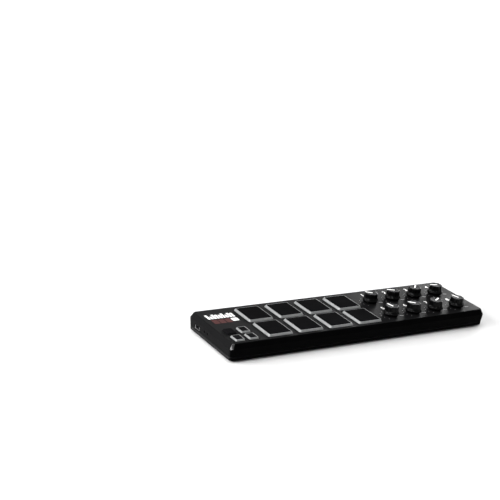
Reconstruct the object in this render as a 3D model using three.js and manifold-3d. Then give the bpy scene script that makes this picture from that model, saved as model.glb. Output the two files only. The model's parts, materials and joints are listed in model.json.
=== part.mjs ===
// A small desktop pad controller: a flat plastic case with eight drum pads, four
// function buttons and eight turning knobs.  Millimetres, +Z up, the front edge at -Y.
// The origin is on the table, under the middle of the case.

import * as THREE from 'three';
import { mergeVertices } from 'three/addons/utils/BufferGeometryUtils.js';
import Module from 'manifold-3d';

const wasm = await Module();
wasm.setup();

// ---------------------------------------------------------------- case sizes
const caseWidth = 311;
const caseDepth = 84.5;
const caseHeight = 17.9;       // underside of the case to the panel
const footDrop = 1.5;          // how far the feet stand below the case
const widestDrop = 5.3;        // the widest line, below the panel
const seamDrop = 13.4;         // the parting line, below the panel
const seamGap = 0.6;
const panelInsetX = 2.8;       // how far the panel's edge stands in from the widest line
const panelInsetY = 2.6;
const underInset = 1.0;        // how far the underside's edge stands in
const cornerRadius = 4.5;
const panelCornerRadius = 3;
const edgeBevel = 0.35;
const wall = 2.2;
const panelThickness = 2.4;
const floorThickness = 2.2;

// ---------------------------------------------------------------- pads
const padColumns = 4;
const padRows = 2;
const padWidth = 28;
const padDepth = 32.2;
const padPitchX = 35.5;
const padPitchY = 36.2;
const firstPadX = -96.7;
const firstPadY = -19.65;
const padRise = 1.9;           // above the panel
const padDraft = 1.2;          // how far the sloped wall leans in
const padCorner = 2.2;
const padRimWidth = 0.9;
const padPocketDepth = 1.2;
const padTopProud = 0.1;
const padTopGap = 0.2;
const padFlangeReach = 1.2;
const padFlangeThickness = 1.6;
const padPlungerInset = 4;
const padPlungerDrop = 1.0;
const padTravel = 1.0;
const padOpeningGap = 0.4;

// ---------------------------------------------------------------- buttons
const buttonColumns = 2;
const buttonRows = 2;
const buttonWidth = 10.2;
const buttonDepth = 11.8;
const buttonPitchX = 15.1;
const buttonPitchY = 15.6;
const firstButtonX = -142.1;
const firstButtonY = -29.95;
const buttonRise = 1.5;
const buttonDraft = 0.7;
const buttonCorner = 1.2;
const buttonDish = 0.25;
const buttonOpeningGap = 0.3;
const buttonFlangeReach = 1.0;
const buttonFlangeThickness = 1.4;
const buttonStemWidth = 5;
const buttonTravel = 0.6;
const buttonStemGap = 0.2;     // left under the stem when the button is pressed

// ---------------------------------------------------------------- knobs
const knobColumns = 4;
const knobRows = 2;
const knobPitchX = 28.86;
const knobPitchY = 36.1;
const firstKnobX = 42.5;
const firstKnobY = -24.85;
const knobHeight = 10.4;       // top of the knob above the panel
const knobLift = 0.6;          // gap under the knob's skirt
const knobSkirtRadius = 8.4;
const knobSkirtHeight = 1.4;
const knobWaistRadius = 7.4;
const knobTopRadius = 6.9;
const knobLobes = 8;
const knobFluteDepth = 0.55;
const knobTopRound = 0.6;
const knobCapThickness = 2.2;
const shaftRadius = 3;
const shaftGap = 0.2;
const shaftFlat = 0.7;

// ---------------------------------------------------------------- inside the case
const boardThickness = 1.6;
const boardUnderPads = 1.2;    // pad plunger to the pad board, at rest
const knobBoardHeight = 2.7;   // knob board above the case floor
const boardEdge = 5;
const potWidth = 9.6;
const potDepth = 10.6;
const potHeight = 6.6;
const potCollarRadius = 4.1;
const potCollarDrop = 1.0;     // collar's end below the panel
const potHoleGap = 0.4;
const postRadius = 2.5;
const pinRadius = 1.8;
const flangeGap = 0.3;         // flanges below the panel's underside

const screwHeadRadius = 2.9;
const screwHeadHeight = 1.9;
const screwShankRadius = 1.4;
const screwLength = 9;
const screwGap = 0.3;
const screwTipGap = 1;
const screwHeadSink = 1.1;
const screwRecess = 2.3;
const screwRecessDepth = 0.9;
const bossRadius = 3.2;
const wellRadius = 4.7;
const seatThickness = 2;
const bossHoleGap = 0.5;

const footRadius = 6;
const footSink = 0.6;
const footGap = 0.3;
const footX = 132;
const footY = 30;

const lipGap = 0.3;
const lipThickness = 1.5;
const lipRise = 3;

const socketY = 24.05;         // USB socket, in the left side
const socketWidth = 8.2;
const socketHeight = 4;
const socketLength = 9;
const socketMetal = 0.35;
const socketSink = 0.5;
const socketMouthGap = 0.6;
const tongueWidth = 5;
const tongueThickness = 1.1;
const tongueLength = 6;

const lockHoleY = [3.65, 9.75];
const lockHoleDrop = 8.35;     // below the panel
const lockHoleRadius = 1.3;

// ---------------------------------------------------------------- heights
const caseUnder = footDrop;
const panelTop = caseUnder + caseHeight;
const panelUnder = panelTop - panelThickness;
const floorTop = caseUnder + floorThickness;
const widestZ = panelTop - widestDrop;
const seamZ = panelTop - seamDrop;
const flangeTop = panelUnder - flangeGap;
const padFlangeUnder = flangeTop - padFlangeThickness;
const padPlungerUnder = padFlangeUnder - padPlungerDrop;
const padBoardTop = padPlungerUnder - boardUnderPads;
const padBoardUnder = padBoardTop - boardThickness;
const knobBoardUnder = floorTop + knobBoardHeight;
const knobBoardTop = knobBoardUnder + boardThickness;
const potTop = knobBoardTop + potHeight;
const collarTop = panelTop - potCollarDrop;
const knobBottom = panelTop + knobLift;
const knobTop = panelTop + knobHeight;
const shaftTop = knobTop - knobCapThickness;
const shaftBottom = potTop - 1;
const screwSeat = caseUnder + screwHeadHeight + screwHeadSink;
const wellTop = screwSeat + seatThickness;

if (padTravel >= boardUnderPads) {
  throw new Error('the pads would reach the board before the end of their travel');
}

// ---------------------------------------------------------------- layout
const pads = grid(padColumns, padRows, firstPadX, firstPadY, padPitchX, padPitchY);
const buttons = grid(buttonColumns, buttonRows, firstButtonX, firstButtonY, buttonPitchX, buttonPitchY);
const knobs = grid(knobColumns, knobRows, firstKnobX, firstKnobY, knobPitchX, knobPitchY);

const lastPadX = firstPadX + padPitchX * (padColumns - 1);
const lastKnobX = firstKnobX + knobPitchX * (knobColumns - 1);
const leftGapX = (firstButtonX + buttonPitchX + buttonWidth / 2 + firstPadX - padWidth / 2) / 2;
const middleGapX = (lastPadX + padWidth / 2 + padFlangeReach + firstKnobX - potWidth / 2) / 2;
const screwY = caseDepth / 2 - wall - lipGap - lipThickness - bossRadius - 1.05;
const rightScrewX = caseWidth / 2 - 9;
const screws = [
  [leftGapX, -screwY],
  [-caseWidth / 2 + 11.5, screwY],
  [middleGapX, -screwY],
  [middleGapX, screwY],
  [rightScrewX, -screwY],
  [rightScrewX, screwY],
];
const feet = [[-footX, -footY], [footX, -footY], [-footX, footY], [footX, footY]];

const padGapsX = [0, 1, 2].map((i) => firstPadX + padPitchX * (i + 0.5));
const padGapY = firstPadY + padPitchY / 2;
const padBoard = {
  left: -caseWidth / 2 + boardEdge,
  right: lastPadX + padWidth / 2 + 1.5,
  front: -caseDepth / 2 + boardEdge,
  back: caseDepth / 2 - boardEdge,
};
const knobBoard = {
  left: firstKnobX - 6,
  right: lastKnobX + 9,
  front: firstKnobY - 9,
  back: firstKnobY + knobPitchY + 9,
};
const padPosts = [];
for (const x of [firstButtonX + 2, padGapsX[0], padGapsX[1], padGapsX[2] + 26]) {
  for (const y of [-27, 27]) {
    padPosts.push([x, y]);
  }
}
const knobPosts = [];
for (const x of [firstKnobX + knobPitchX / 2, lastKnobX - knobPitchX / 2]) {
  for (const y of [knobBoard.front + 3.5, knobBoard.back - 3.5]) {
    knobPosts.push([x, y]);
  }
}
const knobPin = [(firstKnobX + lastKnobX) / 2, firstKnobY + knobPitchY / 2];

function grid(columns, rows, x0, y0, pitchX, pitchY) {
  const places = [];
  for (let j = 0; j < rows; j += 1) {
    for (let i = 0; i < columns; i += 1) {
      places.push([x0 + i * pitchX, y0 + j * pitchY]);
    }
  }
  return places;
}

// ---------------------------------------------------------------- shapes
// A ring of points round a rectangle with rounded corners.
function roundedRing(width, depth, radius, x = 0, y = 0) {
  const steps = 4;
  const ring = [];
  const r = Math.max(radius, 0.05);
  const corners = [[1, 1], [-1, 1], [-1, -1], [1, -1]];
  corners.forEach(([sx, sy], c) => {
    for (let k = 0; k <= steps; k += 1) {
      const angle = (c + k / steps) * Math.PI / 2;
      ring.push([
        x + sx * (width / 2 - r) + r * Math.cos(angle),
        y + sy * (depth / 2 - r) + r * Math.sin(angle),
      ]);
    }
  });
  return ring;
}

// A ring of points round a wavy circle.
function flutedRing(radius, flute, count = 40) {
  const ring = [];
  for (let k = 0; k < count; k += 1) {
    const angle = k / count * Math.PI * 2;
    const wave = Math.pow((1 - Math.cos(angle * knobLobes)) / 2, 1.5);
    const r = radius - flute * wave;
    ring.push([r * Math.cos(angle), r * Math.sin(angle)]);
  }
  return ring;
}

// A closed skin through rings of equal count, lowest first: [z, ring] pairs.
function loft(levels) {
  const count = levels[0][1].length;
  const positions = [];
  const index = [];
  for (const [z, ring] of levels) {
    for (const [x, y] of ring) {
      positions.push(x, y, z);
    }
  }
  for (let l = 0; l + 1 < levels.length; l += 1) {
    for (let k = 0; k < count; k += 1) {
      const a = l * count + k;
      const b = l * count + (k + 1) % count;
      index.push(a, b, b + count, a, b + count, a + count);
    }
  }
  const last = (levels.length - 1) * count;
  for (let k = 1; k + 1 < count; k += 1) {
    index.push(0, k + 1, k);
    index.push(last, last + k, last + k + 1);
  }
  const geometry = new THREE.BufferGeometry();
  geometry.setAttribute('position', new THREE.Float32BufferAttribute(positions, 3));
  geometry.setIndex(index);
  return geometry;
}

function box(x0, x1, y0, y1, z0, z1) {
  const geometry = new THREE.BoxGeometry(x1 - x0, y1 - y0, z1 - z0);
  geometry.translate((x0 + x1) / 2, (y0 + y1) / 2, (z0 + z1) / 2);
  return geometry;
}

function cylinder(radius, z0, z1, x = 0, y = 0, sides = 24) {
  const geometry = new THREE.CylinderGeometry(radius, radius, z1 - z0, sides);
  geometry.rotateX(Math.PI / 2);
  geometry.translate(x, y, (z0 + z1) / 2);
  return geometry;
}

function plate(width, depth, radius, z0, z1, x = 0, y = 0) {
  const ring = roundedRing(width, depth, radius, x, y);
  return loft([[z0, ring], [z1, ring]]);
}

function solid(geometry) {
  const bare = geometry.clone();
  bare.deleteAttribute('normal');
  bare.deleteAttribute('uv');
  const merged = mergeVertices(bare);
  return new wasm.Manifold(new wasm.Mesh({
    numProp: 3,
    vertProperties: new Float32Array(merged.attributes.position.array),
    triVerts: new Uint32Array(merged.index.array),
  }));
}

function joined(first, others) {
  return others.reduce((whole, piece) => whole.add(solid(piece)), solid(first));
}

function cut(whole, holes) {
  return holes.reduce((rest, hole) => rest.subtract(solid(hole)), whole);
}

function geometryOf(manifold) {
  const mesh = manifold.getMesh();
  const geometry = new THREE.BufferGeometry();
  const positions = new Float32Array(mesh.numVert * 3);
  for (let v = 0; v < mesh.numVert; v += 1) {
    for (let k = 0; k < 3; k += 1) {
      positions[v * 3 + k] = mesh.vertProperties[v * mesh.numProp + k];
    }
  }
  geometry.setAttribute('position', new THREE.BufferAttribute(positions, 3));
  geometry.setIndex(Array.from(mesh.triVerts));
  geometry.computeVertexNormals();
  return geometry;
}

// How far the case's side stands in from the widest line at a height.
function sideInset(z) {
  if (z >= widestZ) {
    const part = (z - widestZ) / (panelTop - widestZ);
    return [panelInsetX * part, panelInsetY * part];
  }
  const part = (widestZ - z) / (widestZ - caseUnder);
  return [underInset * part, underInset * part];
}

function caseRing(z, extra) {
  const [insetX, insetY] = sideInset(z);
  const upper = Math.max(0, (z - widestZ) / (panelTop - widestZ));
  const radius = cornerRadius + (panelCornerRadius - cornerRadius) * upper - extra / 2;
  return roundedRing(
    caseWidth - 2 * (insetX + extra),
    caseDepth - 2 * (insetY + extra),
    radius,
  );
}

// ---------------------------------------------------------------- materials
function material(color, roughness, metalness = 0) {
  return new THREE.MeshStandardMaterial({ color, roughness, metalness });
}

const casePlastic = () => material(0x26272a, 0.55);
const underPlastic = () => material(0x1c1d1f, 0.6);
const padBlack = () => material(0x151517, 0.7);
const padClear = () => material(0xb4b8bb, 0.4);
const knobBlack = () => material(0x0b0b0c, 0.22);
const boardGreen = () => material(0x1d4a33, 0.5);
const potGrey = () => material(0x55595c, 0.45);
const shaftNylon = () => material(0xd9d6cc, 0.5);
const steel = () => material(0x9a9c9e, 0.35, 1);
const blackSteel = () => material(0x242527, 0.4, 1);
const footRubber = () => material(0x101011, 0.85);
const socketBlack = () => material(0x111112, 0.5);

const controller = new THREE.Group();

function place(parent, name, shape, look, position = [0, 0, 0]) {
  const geometry = shape instanceof THREE.BufferGeometry ? shape : geometryOf(shape);
  const mesh = new THREE.Mesh(geometry, look);
  mesh.name = name;
  mesh.position.set(...position);
  parent.add(mesh);
}

function holderOf(parent) {
  const group = new THREE.Group();
  parent.add(group);
  return group;
}

// ---------------------------------------------------------------- the case
const socketZ1 = padBoardUnder;
const socketZ0 = socketZ1 - socketHeight;
const socketX0 = -caseWidth / 2 + sideInset((socketZ0 + socketZ1) / 2)[0] + socketSink;

function socketMouth() {
  const half = socketWidth / 2 + socketMouthGap;
  return box(
    -caseWidth / 2 - 1,
    socketX0 + socketLength + socketMouthGap,
    socketY - half,
    socketY + half,
    socketZ0 - socketMouthGap,
    padBoardUnder,
  );
}

function topCover() {
  const outer = loft([
    [seamZ, caseRing(seamZ, 0)],
    [widestZ, caseRing(widestZ, 0)],
    [panelTop - edgeBevel, caseRing(panelTop - edgeBevel, 0)],
    [panelTop, caseRing(panelTop, edgeBevel)],
  ]);
  const inner = loft([
    [seamZ - 1, caseRing(seamZ, wall)],
    [widestZ, caseRing(widestZ, wall)],
    [panelUnder, caseRing(panelUnder, wall)],
  ]);
  let cover = solid(outer).subtract(solid(inner));
  for (const [x, y] of screws) {
    cover = cover.add(solid(cylinder(bossRadius, wellTop, panelUnder + 0.5, x, y)));
  }
  for (const x of padGapsX) {
    cover = cover.add(solid(cylinder(pinRadius, padBoardTop, panelUnder + 0.5, x, padGapY, 16)));
  }
  cover = cover.add(solid(cylinder(pinRadius, knobBoardTop, panelUnder + 0.5, ...knobPin, 16)));

  const holes = [];
  const screwTip = screwSeat + screwLength + screwTipGap;
  for (const [x, y] of screws) {
    holes.push(cylinder(screwShankRadius + screwGap, wellTop - 1, screwTip, x, y, 16));
  }
  for (const [x, y] of pads) {
    holes.push(plate(
      padWidth + 2 * padOpeningGap,
      padDepth + 2 * padOpeningGap,
      padCorner + padOpeningGap,
      panelUnder - 1,
      panelTop + 1,
      x,
      y,
    ));
  }
  for (const [x, y] of buttons) {
    holes.push(plate(
      buttonWidth + 2 * buttonOpeningGap,
      buttonDepth + 2 * buttonOpeningGap,
      buttonCorner + buttonOpeningGap,
      panelUnder - 1,
      panelTop + 1,
      x,
      y,
    ));
  }
  for (const [x, y] of knobs) {
    holes.push(cylinder(potCollarRadius + potHoleGap, panelUnder - 1, panelTop + 1, x, y, 24));
  }
  holes.push(socketMouth());
  for (const y of lockHoleY) {
    const hole = cylinder(lockHoleRadius, -4, 4, 0, 0, 20);
    hole.rotateY(Math.PI / 2);
    hole.translate(-caseWidth / 2 + 1, y, panelTop - lockHoleDrop);
    holes.push(hole);
  }
  return cut(cover, holes);
}

function bottomCover() {
  const rim = seamZ - seamGap;
  const outer = loft([
    [caseUnder, caseRing(caseUnder, 0.8)],
    [caseUnder + 0.8, caseRing(caseUnder + 0.8, 0)],
    [rim, caseRing(rim, 0)],
  ]);
  const trough = loft([
    [floorTop, caseRing(floorTop, wall)],
    [rim + 1, caseRing(rim, wall)],
  ]);
  let cover = solid(outer).subtract(solid(trough));

  const lipOut = wall + lipGap;
  const lipIn = lipOut + lipThickness;
  const lip = solid(loft([
    [floorTop - 0.5, caseRing(floorTop, lipOut - 1)],
    [rim - 0.4, caseRing(rim, lipOut - 1)],
    [rim, caseRing(rim, lipOut)],
    [seamZ + lipRise, caseRing(rim, lipOut)],
  ])).subtract(solid(loft([
    [floorTop - 1, caseRing(floorTop, lipIn)],
    [seamZ + lipRise + 1, caseRing(floorTop, lipIn)],
  ])));
  cover = cover.add(lip);

  for (const [x, y] of screws) {
    cover = cover.add(solid(cylinder(wellRadius, floorTop - 0.5, wellTop, x, y)));
  }
  for (const [x, y] of padPosts) {
    cover = cover.add(solid(cylinder(postRadius, floorTop - 0.5, padBoardUnder, x, y, 16)));
  }
  for (const [x, y] of knobPosts) {
    cover = cover.add(solid(cylinder(postRadius, floorTop - 0.5, knobBoardUnder, x, y, 16)));
  }

  const holes = [];
  for (const [x, y] of screws) {
    holes.push(cylinder(screwHeadRadius + screwGap, caseUnder - 1, screwSeat, x, y));
    holes.push(cylinder(screwShankRadius + screwGap, caseUnder - 1, wellTop + 1, x, y, 16));
  }
  for (const [x, y] of feet) {
    holes.push(cylinder(footRadius + footGap, caseUnder - 1, caseUnder + footSink, x, y, 24));
  }
  const half = socketWidth / 2 + socketMouthGap;
  holes.push(box(
    -caseWidth / 2 - 1,
    socketX0 + socketLength + socketMouthGap,
    socketY - half,
    socketY + half,
    socketZ0 - socketMouthGap,
    padBoardUnder + 1,
  ));
  return cut(cover, holes);
}

const caseGroup = holderOf(controller);
place(caseGroup, 'top_cover', topCover(), casePlastic());
place(caseGroup, 'bottom_cover', bottomCover(), underPlastic());

// ---------------------------------------------------------------- boards
function padBoardShape() {
  const board = solid(box(
    padBoard.left,
    padBoard.right,
    padBoard.front,
    padBoard.back,
    padBoardUnder,
    padBoardTop,
  ));
  const holes = screws
    .filter(([x]) => x < padBoard.right)
    .map(([x, y]) => cylinder(bossRadius + bossHoleGap, padBoardUnder - 1, padBoardTop + 1, x, y));
  return cut(board, holes);
}

place(caseGroup, 'pad_board', padBoardShape(), boardGreen());
place(caseGroup, 'knob_board', box(
  knobBoard.left,
  knobBoard.right,
  knobBoard.front,
  knobBoard.back,
  knobBoardUnder,
  knobBoardTop,
), boardGreen());

// ---------------------------------------------------------------- USB socket
const socketX1 = socketX0 + socketLength;
const socketShell = cut(
  solid(box(
    socketX0,
    socketX1,
    socketY - socketWidth / 2,
    socketY + socketWidth / 2,
    socketZ0,
    socketZ1,
  )),
  [box(
    socketX0 - 1,
    socketX1 - socketMetal,
    socketY - socketWidth / 2 + socketMetal,
    socketY + socketWidth / 2 - socketMetal,
    socketZ0 + socketMetal,
    socketZ1 - socketMetal,
  )],
);
place(caseGroup, 'usb_shell', socketShell, steel());
const tongueZ = (socketZ0 + socketZ1) / 2;
place(caseGroup, 'usb_tongue', box(
  socketX1 - socketMetal - tongueLength,
  socketX1 - socketMetal,
  socketY - tongueWidth / 2,
  socketY + tongueWidth / 2,
  tongueZ - tongueThickness / 2,
  tongueZ + tongueThickness / 2,
), socketBlack());

// ---------------------------------------------------------------- feet and screws
const footProfile = [
  [0, 0],
  [footRadius - 0.5, 0],
  [footRadius, 0.5],
  [footRadius, footDrop + footSink],
  [0, footDrop + footSink],
].map(([r, z]) => new THREE.Vector2(r, z));
const footShape = new THREE.LatheGeometry(footProfile, 24);
footShape.rotateX(Math.PI / 2);
feet.forEach(([x, y], i) => {
  place(caseGroup, `foot_${i + 1}`, solid(footShape), footRubber(), [x, y, 0]);
});

function screwShape() {
  const headBottom = -screwHeadHeight;
  const profile = [
    [0, headBottom],
    [screwHeadRadius - 0.5, headBottom],
    [screwHeadRadius, headBottom + 0.6],
    [screwHeadRadius, 0],
    [screwShankRadius, 0],
    [screwShankRadius, screwLength - 1],
    [0, screwLength],
  ].map(([r, z]) => new THREE.Vector2(r, z));
  const turned = new THREE.LatheGeometry(profile, 16);
  turned.rotateX(Math.PI / 2);
  const long = screwRecess / 2;
  const short = 0.35;
  const depth = headBottom + screwRecessDepth;
  return cut(solid(turned), [
    box(-long, long, -short, short, headBottom - 1, depth),
    box(-short, short, -long, long, headBottom - 1, depth),
  ]);
}

screws.forEach(([x, y], i) => {
  place(caseGroup, `case_screw_${i + 1}`, screwShape(), blackSteel(), [x, y, screwSeat]);
});

// ---------------------------------------------------------------- pots and knobs
function potShape() {
  const body = joined(
    box(-potWidth / 2, potWidth / 2, -potDepth / 2, potDepth / 2, knobBoardTop, potTop),
    [cylinder(potCollarRadius, potTop - 0.5, collarTop, 0, 0, 24)],
  );
  return cut(body, [cylinder(shaftRadius + shaftGap, shaftBottom, collarTop + 1, 0, 0, 20)]);
}

// The shaft has a flat, so the knob can go on one way round only.
function shaftShape() {
  const round = solid(cylinder(shaftRadius, shaftBottom, shaftTop, 0, 0, 20));
  const flat = shaftRadius - shaftFlat;
  return cut(round, [box(-4, 4, -4, -flat, collarTop + 1, shaftTop + 1)]);
}

function knobShape() {
  const skirtTop = knobBottom + knobSkirtHeight;
  const waist = skirtTop + 1.6;
  const outer = loft([
    [knobBottom, flutedRing(knobSkirtRadius, 0)],
    [skirtTop, flutedRing(knobSkirtRadius - 0.2, 0)],
    [waist, flutedRing(knobWaistRadius, knobFluteDepth)],
    [knobTop - knobTopRound, flutedRing(knobTopRadius, knobFluteDepth)],
    [knobTop, flutedRing(knobTopRadius - knobTopRound, knobFluteDepth * 0.8)],
  ]);
  const bore = cut(
    solid(cylinder(shaftRadius + shaftGap, knobBottom - 1, shaftTop, 0, 0, 20)),
    [box(-4, 4, -4, -shaftRadius + shaftFlat - shaftGap, knobBottom + 1, shaftTop + 1)],
  );
  return solid(outer).subtract(bore);
}

// Knobs 1 to 4 are the back row and 5 to 8 the front row.
knobs.forEach(([x, y], i) => {
  const number = i < knobColumns ? i + 1 + knobColumns : i + 1 - knobColumns;
  const unit = holderOf(controller);
  unit.position.set(x, y, 0);
  place(unit, `pot_body_${number}`, potShape(), potGrey());
  place(unit, `pot_shaft_${number}`, shaftShape(), shaftNylon());
  place(unit, `knob_${number}`, knobShape(), knobBlack());
});

// ---------------------------------------------------------------- pads
const padTopWidth = padWidth - 2 * padDraft;
const padTopDepth = padDepth - 2 * padDraft;
const padPocketWidth = padTopWidth - 2 * padRimWidth;
const padPocketLength = padTopDepth - 2 * padRimWidth;
const padPocketFloor = panelTop + padRise - padPocketDepth;

function padRimShape() {
  const body = joined(
    loft([
      [flangeTop - 0.5, roundedRing(padWidth, padDepth, padCorner)],
      [panelTop, roundedRing(padWidth, padDepth, padCorner)],
      [panelTop + padRise - 0.2, roundedRing(padTopWidth + 0.4, padTopDepth + 0.4, padCorner - 0.4)],
      [panelTop + padRise, roundedRing(padTopWidth, padTopDepth, padCorner - 0.6)],
    ]),
    [
      plate(
        padWidth + 2 * padFlangeReach,
        padDepth + 2 * padFlangeReach,
        padCorner,
        padFlangeUnder,
        flangeTop,
      ),
      plate(
        padWidth - 2 * padPlungerInset,
        padDepth - 2 * padPlungerInset,
        padCorner,
        padPlungerUnder,
        padFlangeUnder + 0.5,
      ),
    ],
  );
  return cut(body, [
    plate(padPocketWidth, padPocketLength, padCorner - 0.8, padPocketFloor, panelTop + padRise + 1),
  ]);
}

function padTopShape() {
  const width = padPocketWidth - 2 * padTopGap;
  const length = padPocketLength - 2 * padTopGap;
  const top = panelTop + padRise + padTopProud;
  return solid(loft([
    [padPocketFloor, roundedRing(width, length, padCorner - 1)],
    [top - 0.3, roundedRing(width, length, padCorner - 1)],
    [top, roundedRing(width - 0.6, length - 0.6, padCorner - 1.2)],
  ]));
}

// Pads 1 to 4 are the front row and 5 to 8 the back row.
pads.forEach(([x, y], i) => {
  const unit = holderOf(controller);
  unit.position.set(x, y, 0);
  place(unit, `pad_rim_${i + 1}`, padRimShape(), padClear());
  place(unit, `pad_top_${i + 1}`, padTopShape(), padBlack());
});

// ---------------------------------------------------------------- buttons
function buttonShape() {
  const flangeUnder = flangeTop - buttonFlangeThickness;
  const stemUnder = padBoardTop + buttonTravel + buttonStemGap;
  const top = panelTop + buttonRise;
  const body = joined(
    loft([
      [flangeTop - 0.5, roundedRing(buttonWidth, buttonDepth, buttonCorner)],
      [panelTop, roundedRing(buttonWidth, buttonDepth, buttonCorner)],
      [top - 0.25, roundedRing(
        buttonWidth - 2 * buttonDraft,
        buttonDepth - 2 * buttonDraft,
        buttonCorner,
      )],
      [top, roundedRing(
        buttonWidth - 2 * buttonDraft - 0.5,
        buttonDepth - 2 * buttonDraft - 0.5,
        buttonCorner - 0.2,
      )],
    ]),
    [
      plate(
        buttonWidth + 2 * buttonFlangeReach,
        buttonDepth + 2 * buttonFlangeReach,
        buttonCorner,
        flangeUnder,
        flangeTop,
      ),
      plate(buttonStemWidth, buttonStemWidth, 0.8, stemUnder, flangeUnder + 0.5),
    ],
  );
  const dishWidth = buttonWidth - 2 * buttonDraft - 2;
  const dishDepth = buttonDepth - 2 * buttonDraft - 2;
  return cut(body, [plate(dishWidth, dishDepth, 0.8, top - buttonDish, top + 1)]);
}

buttons.forEach(([x, y], i) => {
  place(controller, `button_${i + 1}`, buttonShape(), padBlack(), [x, y, 0]);
});

export default controller;
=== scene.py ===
"""A small desktop pad controller: eight rubber pads, four buttons and eight knobs.

The measured frame comes in first, and each operator then dresses one kind of piece.
Lengths are in metres, +Z is up and the front edge is at -Y.
"""

import json
import math
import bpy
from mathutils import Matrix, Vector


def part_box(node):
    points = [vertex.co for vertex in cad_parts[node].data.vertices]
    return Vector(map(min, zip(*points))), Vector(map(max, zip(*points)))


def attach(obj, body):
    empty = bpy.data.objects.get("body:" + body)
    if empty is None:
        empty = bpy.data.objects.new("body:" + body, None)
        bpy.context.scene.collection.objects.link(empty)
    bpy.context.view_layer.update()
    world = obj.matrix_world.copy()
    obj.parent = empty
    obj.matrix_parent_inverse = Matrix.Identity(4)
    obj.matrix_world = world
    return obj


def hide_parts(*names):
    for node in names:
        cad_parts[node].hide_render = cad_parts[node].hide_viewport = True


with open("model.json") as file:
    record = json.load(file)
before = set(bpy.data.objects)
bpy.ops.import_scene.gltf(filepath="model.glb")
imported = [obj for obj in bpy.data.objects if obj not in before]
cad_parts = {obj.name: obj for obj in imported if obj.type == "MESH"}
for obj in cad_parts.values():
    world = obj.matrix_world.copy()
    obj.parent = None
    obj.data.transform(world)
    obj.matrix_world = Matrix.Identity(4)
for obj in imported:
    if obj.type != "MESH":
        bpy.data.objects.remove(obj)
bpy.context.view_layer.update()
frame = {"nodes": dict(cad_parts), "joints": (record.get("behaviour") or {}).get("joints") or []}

from types import SimpleNamespace

import bmesh
import bpy
from bpy.props import FloatProperty, FloatVectorProperty, IntProperty, PointerProperty
from mathutils import Matrix, Vector

bl_info = {
    "name": "Pad Controller Maker", "version": (1, 0, 0), "blender": (4, 5, 0),
    "location": "3D View > Sidebar > Pad Controller",
    "description": "Dresses the measured frame of a small desktop pad controller",
    "category": "Add Mesh",
}

MM = 0.001
PADS = range(1, 9)
BUTTONS = range(1, 5)
KNOBS = range(1, 9)
FEET = range(1, 5)
SCREWS = range(1, 7)
DARK_BUTTON = 3
FRONT, EDGE, CORNER = 1, 2, 3  # a cover's material slots
SAME_PLACE = 1e-7

PANEL_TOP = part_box("top_cover")[1].z
PANEL = PANEL_TOP / MM
PLUNGER = 1.0


# ------------------------------------------------------------------ settings
def length(name, millimetres, description):
    """A length that a user may change, in metres."""
    return FloatProperty(
        name=name, description=description, default=millimetres * MM, unit="LENGTH", precision=5,
    )


def colour(name, default, description):
    """A surface colour that a user may change."""
    return FloatVectorProperty(
        name=name, description=description, default=default, size=3, min=0.0, max=1.0,
        subtype="COLOR",
    )


def turn(name, degrees, description):
    """An angle that a user may change."""
    return FloatProperty(
        name=name, description=description, default=math.radians(degrees), subtype="ANGLE",
        unit="ROTATION",
    )


def amount(name, default, description):
    """A whole number that a user may change."""
    return IntProperty(name=name, description=description, default=default, min=1)


class CaseSettings(bpy.types.PropertyGroup):
    """Sizes and colours of the two case halves."""

    edge_round: length("Edge round", 0.3, "Radius on the case's outer edges")
    panel_colour: colour("Panel", (0.0046, 0.0046, 0.0049), "Charcoal of the panel and sides")
    # Painted shade: the front colour is darker than the panel's, on top of its glossier finish.
    front_colour: colour("Front", (0.0009, 0.0009, 0.001), "Gloss black of the front face")
    under_colour: colour("Underside", (0.018, 0.018, 0.0185), "Black of the lower half")


class PadSettings(bpy.types.PropertyGroup):
    """Sizes and colours of the eight drum pads."""

    flange: length("Flange", 1.2, "How far the hidden flange reaches past the pad")
    flange_thickness: length("Flange thickness", 1.6, "Height of the hidden flange")
    plunger_inset: length("Plunger inset", 4.0, "How far the plunger stands in")
    draft: length("Draft", 1.2, "How far the sloped wall leans in")
    rim: length("Rim", 0.34, "Width of the pale rim round the black top")
    corner: length("Corner", 2.2, "Corner radius at the panel")
    crown: length("Crown", 0.22, "How far the middle of the pad stands up")
    rim_colour: colour("Rim colour", (0.20, 0.205, 0.205), "Milky silicone of the rim")
    top_colour: colour("Top colour", (0.0034, 0.0034, 0.0037), "Black rubber of the top")


class ButtonSettings(bpy.types.PropertyGroup):
    """Sizes and colours of the four push buttons."""

    flange: length("Flange", 1.0, "How far the hidden flange reaches past the button")
    flange_thickness: length("Flange thickness", 1.4, "Height of the hidden flange")
    stem: length("Stem", 5.0, "Width of the stem under the button")
    draft: length("Draft", 0.7, "How far the wall leans in")
    rim: length("Rim", 0.4, "Width of the rim round the cap")
    corner: length("Corner", 1.2, "Corner radius at the panel")
    cap_colour: colour("Cap colour", (0.005, 0.005, 0.0055), "Black of the cap")


class KnobSettings(bpy.types.PropertyGroup):
    """Sizes and colours of the eight knobs."""

    skirt: length("Skirt radius", 8.4, "Radius at the skirt")
    waist: length("Waist radius", 7.4, "Radius above the skirt")
    top: length("Top radius", 6.9, "Radius at the top")
    bore: length("Bore radius", 3.2, "Radius of the hole for the shaft")
    bore_cap: length("Cap over the bore", 2.2, "Thickness left above the shaft")
    flute_depth: length("Flute depth", 0.85, "How deep the finger flutes are")
    lobes: amount("Lobes", 8, "Number of lobes between the flutes")
    pointer_width: length("Pointer width", 1.45, "Width of the white pointer")
    pointer_back: length("Pointer past middle", 1.4, "How far the pointer runs past the middle")
    body_colour: colour("Body colour", (0.0009, 0.0009, 0.001), "Gloss black of the sides")
    face_colour: colour("Face colour", (0.017, 0.017, 0.018), "Dark grey of the flat top")


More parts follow.
